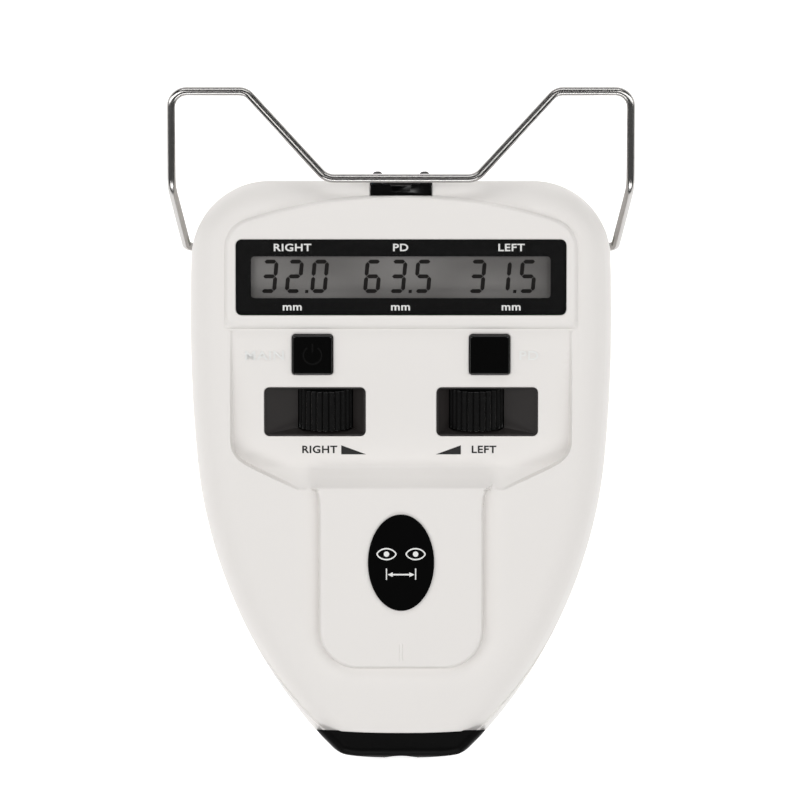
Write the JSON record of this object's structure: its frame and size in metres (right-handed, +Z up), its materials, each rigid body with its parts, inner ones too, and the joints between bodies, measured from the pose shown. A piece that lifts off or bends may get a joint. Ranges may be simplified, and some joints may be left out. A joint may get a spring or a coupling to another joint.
{
  "type": "pupillary distance meter",
  "caption": "Handheld pupillary distance meter: wedge-shaped housing with sloping display, two thumbwheels, push buttons, nose rest, and a tilting wire forehead rest.",
  "frame": {"origin": "centre of the flat underside, midway across, about midway between the front face and the eyepiece end", "axes": "+Z up towards the display, +Y towards the patient's side with the nose and forehead rests, +X to the right as seen from above with the display readable"},
  "size_m": [0.1794, 0.258, 0.0697],
  "materials": {
    "white_abs": "fine spark-eroded texture",
    "black_gloss": "polished",
    "black_satin": "satin moulded",
    "window_acrylic": "clear, black printed border",
    "lcd_glass": "grey reflective liquid crystal",
    "optical_glass": "coated",
    "polished_steel": "polished wire",
    "zinc_steel": "plain",
    "grey_silicone": "matt",
    "conductive_rubber": "matt",
    "circuit_board": "solder resist",
    "brass": "turned",
    "acetal": "moulded",
    "cell_jacket": "printed sleeve"
  },
  "bodies": {
    "case": {"upper_shell": "white_abs", "lower_shell": "white_abs", "case_screws": "zinc_steel", "end_cap": "black_satin", "eyepiece_lens": "optical_glass", "eyepiece_ring": "black_satin", "display_window": "window_acrylic", "lcd_module": "lcd_glass", "lcd_frame": "black_satin", "contact_strips": "conductive_rubber", "main_board": "circuit_board", "board_screws": "zinc_steel", "badge": "black_gloss", "power_dome": "conductive_rubber", "mode_dome": "conductive_rubber", "key_board": "circuit_board", "right_wheel_trough": "black_satin", "left_wheel_trough": "black_satin", "right_wheel_axle": "zinc_steel", "left_wheel_axle": "zinc_steel", "right_position_sensor": "black_satin", "left_position_sensor": "black_satin", "optical_chassis": "black_satin", "guide_rods": "zinc_steel", "objective_lens": "optical_glass", "lens_holder": "black_satin", "target_lamp": "circuit_board", "front_plate": "black_satin", "right_window": "optical_glass", "left_window": "optical_glass", "nose_rest_bracket": "black_gloss", "nose_pad_pins": "zinc_steel", "right_pivot_bush": "acetal", "left_pivot_bush": "acetal", "battery_cells": "cell_jacket", "battery_contacts": "brass"},
    "right_wheel": {"right_thumbwheel": "black_gloss", "right_pinion": "acetal"},
    "left_wheel": {"left_thumbwheel": "black_gloss", "left_pinion": "acetal"},
    "right_slide": {"right_carriage": "acetal", "right_hairline": "zinc_steel"},
    "left_slide": {"left_carriage": "acetal", "left_hairline": "zinc_steel"},
    "power_key": {"power_button": "black_gloss"},
    "mode_key": {"mode_button": "black_gloss"},
    "forehead_wire": {"forehead_rest": "polished_steel"},
    "distance_set": {"distance_slider": "black_satin", "target_carriage": "black_satin"},
    "occluder": {"occluder_slider": "black_satin", "occluder_blade": "black_satin"},
    "door": {"battery_door": "white_abs"},
    "right_pad": {"right_nose_pad": "grey_silicone"},
    "left_pad": {"left_nose_pad": "grey_silicone"}
  },
  "joints": [
    {"name": "right_wheel_turn", "type": "hinge", "parent": "case", "child": "right_wheel", "pos_m": [-0.029, 0.01402, 0.03548], "axis": [0, 0.9703, 0.2419], "range_deg": [-97, 92]},
    {"name": "right_hairline_slide", "type": "slide", "parent": "case", "child": "right_slide", "axis": [1, 0, 0], "range_m": [-0.009, 0.0095]},
    {"name": "left_wheel_turn", "type": "hinge", "parent": "case", "child": "left_wheel", "pos_m": [0.029, 0.01402, 0.03548], "axis": [0, 0.9703, 0.2419], "range_deg": [-97, 92]},
    {"name": "left_hairline_slide", "type": "slide", "parent": "case", "child": "left_slide", "axis": [1, 0, 0], "range_m": [-0.009, 0.0095]},
    {"name": "power_button_press", "type": "slide", "parent": "case", "child": "power_key", "axis": [0, 0.2419, -0.9703], "range_m": [0, 0.0008], "stiffness_N_per_m": 500, "springref_m": -0.0004, "deforming": ["power_dome"]},
    {"name": "mode_button_press", "type": "slide", "parent": "case", "child": "mode_key", "axis": [0, 0.2419, -0.9703], "range_m": [0, 0.0008], "stiffness_N_per_m": 500, "springref_m": -0.0004, "deforming": ["mode_dome"]},
    {"name": "forehead_rest_tilt", "type": "hinge", "parent": "case", "child": "forehead_wire", "pos_m": [0, 0.075, 0.028], "axis": [1, 0, 0], "range_deg": [-35, 45]},
    {"name": "distance_slide", "type": "slide", "parent": "case", "child": "distance_set", "axis": [0, 1, 0], "range_m": [-0.009, 0.009]},
    {"name": "occluder_slide", "type": "slide", "parent": "case", "child": "occluder", "axis": [1, 0, 0], "range_m": [-0.032, 0.032]},
    {"name": "battery_door_release", "type": "slide", "parent": "case", "child": "door", "axis": [0, 0, -1], "range_m": [0, 0.03]},
    {"name": "right_nose_pad_rock", "type": "hinge", "parent": "case", "child": "right_pad", "pos_m": [-0.009, 0.1, 0.043], "axis": [0, 0, 1], "range_deg": [-10, 10]},
    {"name": "left_nose_pad_rock", "type": "hinge", "parent": "case", "child": "left_pad", "pos_m": [0.009, 0.1, 0.043], "axis": [0, 0, 1], "range_deg": [-10, 10]}
  ],
  "couplings": [
    {"joint": "right_hairline_slide", "follows": "right_wheel_turn", "m_per_rad": -0.0056},
    {"joint": "left_hairline_slide", "follows": "left_wheel_turn", "m_per_rad": -0.0056}
  ]
}
